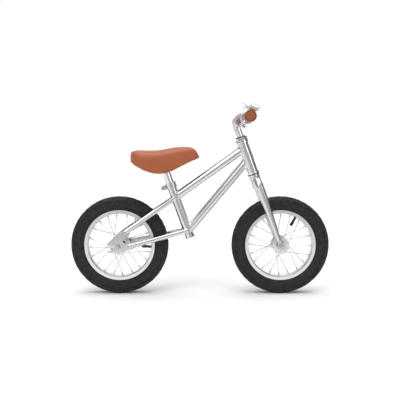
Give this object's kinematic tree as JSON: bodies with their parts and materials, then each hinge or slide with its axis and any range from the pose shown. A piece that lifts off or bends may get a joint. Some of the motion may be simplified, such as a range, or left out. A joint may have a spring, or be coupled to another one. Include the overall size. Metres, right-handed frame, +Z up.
{
  "type": "balance bike",
  "caption": "Child's balance bike: polished diamond frame, spoked wheels with air tyres, padded tan saddle, quill stem, grips and a thumb bell.",
  "frame": {"origin": "on the ground, midway between the two wheels' contact points", "axes": "+X forward, +Y to the rider's left, +Z up"},
  "size_m": [0.8, 0.402, 0.5834],
  "materials": {
    "polished_frame": "brushed and clear coated",
    "badge_metal": "satin",
    "chrome": "mirror",
    "steel_fasteners": "zinc plated",
    "rim_alloy": "satin",
    "spoke_steel": "bright",
    "tyre_rubber": "matt",
    "tube_rubber": "smooth",
    "seal_rubber": "matt",
    "tan_leather": "smooth grain",
    "tan_grip": "matt ribbed",
    "saddle_plastic": "moulded"
  },
  "bodies": {
    "frame": {"head_tube": "polished_frame", "top_tube": "polished_frame", "down_tube": "polished_frame", "seat_tube": "polished_frame", "seat_stays": "polished_frame", "chain_stays": "polished_frame", "dropouts": "polished_frame", "seat_tube_plug": "polished_frame", "head_badge": "badge_metal", "seat_clamp_collar": "polished_frame", "seat_clamp_bolt": "steel_fasteners", "headset_cups": "chrome", "rear_axle": "steel_fasteners", "rear_axle_nuts": "steel_fasteners", "rear_hub_cones": "steel_fasteners"},
    "fork": {"fork_steerer": "steel_fasteners", "fork_crown": "polished_frame", "fork_leg_left": "polished_frame", "fork_leg_right": "polished_frame", "fork_ends": "polished_frame", "headset_races": "chrome", "headset_lock_washer": "seal_rubber", "headset_locknut": "chrome", "headset_seals": "seal_rubber", "headset_balls": "steel_fasteners", "front_axle": "steel_fasteners", "front_axle_nuts": "steel_fasteners", "front_hub_cones": "steel_fasteners"},
    "stem": {"stem": "chrome", "stem_expander_bolt": "steel_fasteners", "stem_wedge": "steel_fasteners", "stem_clamp_bolt": "steel_fasteners"},
    "handlebar": {"handlebar": "chrome", "grip_left": "tan_grip", "grip_right": "tan_grip", "bell_bracket": "chrome", "bell_dome": "chrome", "bell_screw": "chrome", "bell_pin": "steel_fasteners"},
    "bell_lever": {"bell_lever": "chrome"},
    "seat_post": {"seat_post": "chrome", "saddle_bolt": "steel_fasteners"},
    "saddle": {"saddle_clamp": "steel_fasteners", "saddle_rails": "steel_fasteners", "saddle_base": "saddle_plastic", "saddle_cover": "tan_leather"},
    "front_wheel": {"front_tyre": "tyre_rubber", "front_inner_tube": "tube_rubber", "front_rim": "rim_alloy", "front_spokes": "spoke_steel", "front_nipples": "spoke_steel", "front_hub": "rim_alloy", "front_hub_balls": "steel_fasteners"},
    "rear_wheel": {"rear_tyre": "tyre_rubber", "rear_inner_tube": "tube_rubber", "rear_rim": "rim_alloy", "rear_spokes": "spoke_steel", "rear_nipples": "spoke_steel", "rear_hub": "rim_alloy", "rear_hub_balls": "steel_fasteners"}
  },
  "joints": [
    {"name": "steering", "type": "hinge", "parent": "frame", "child": "fork", "pos_m": [0.1464, 0, 0.4212], "axis": [-0.342, 0, 0.9397], "range_deg": [-75, 75]},
    {"name": "front_wheel_spin", "type": "hinge", "parent": "fork", "child": "front_wheel", "pos_m": [0.249, 0, 0.151], "axis": [0, 1, 0], "continuous": true},
    {"name": "rear_wheel_spin", "type": "hinge", "parent": "frame", "child": "rear_wheel", "pos_m": [-0.249, 0, 0.151], "axis": [0, 1, 0], "continuous": true},
    {"name": "seat_height", "type": "slide", "parent": "frame", "child": "seat_post", "axis": [-0.342, 0, 0.9397], "range_m": [-0.02, 0.06]},
    {"name": "saddle_tilt", "type": "hinge", "parent": "seat_post", "child": "saddle", "pos_m": [-0.10981, 0, 0.39077], "axis": [0, 1, 0], "range_deg": [-8, 8]},
    {"name": "stem_height", "type": "slide", "parent": "fork", "child": "stem", "axis": [-0.342, 0, 0.9397], "range_m": [-0.02, 0.04]},
    {"name": "handlebar_tilt", "type": "hinge", "parent": "stem", "child": "handlebar", "pos_m": [0.14372, 0, 0.54229], "axis": [0, 1, 0], "range_deg": [-30, 30]},
    {"name": "bell_lever_press", "type": "hinge", "parent": "handlebar", "child": "bell_lever", "pos_m": [0.13852, -0.07, 0.57024], "axis": [0, 1, 0], "range_deg": [-12, 0], "stiffness_Nm_per_rad": 0.05, "springref_deg": 20.05}
  ]
}
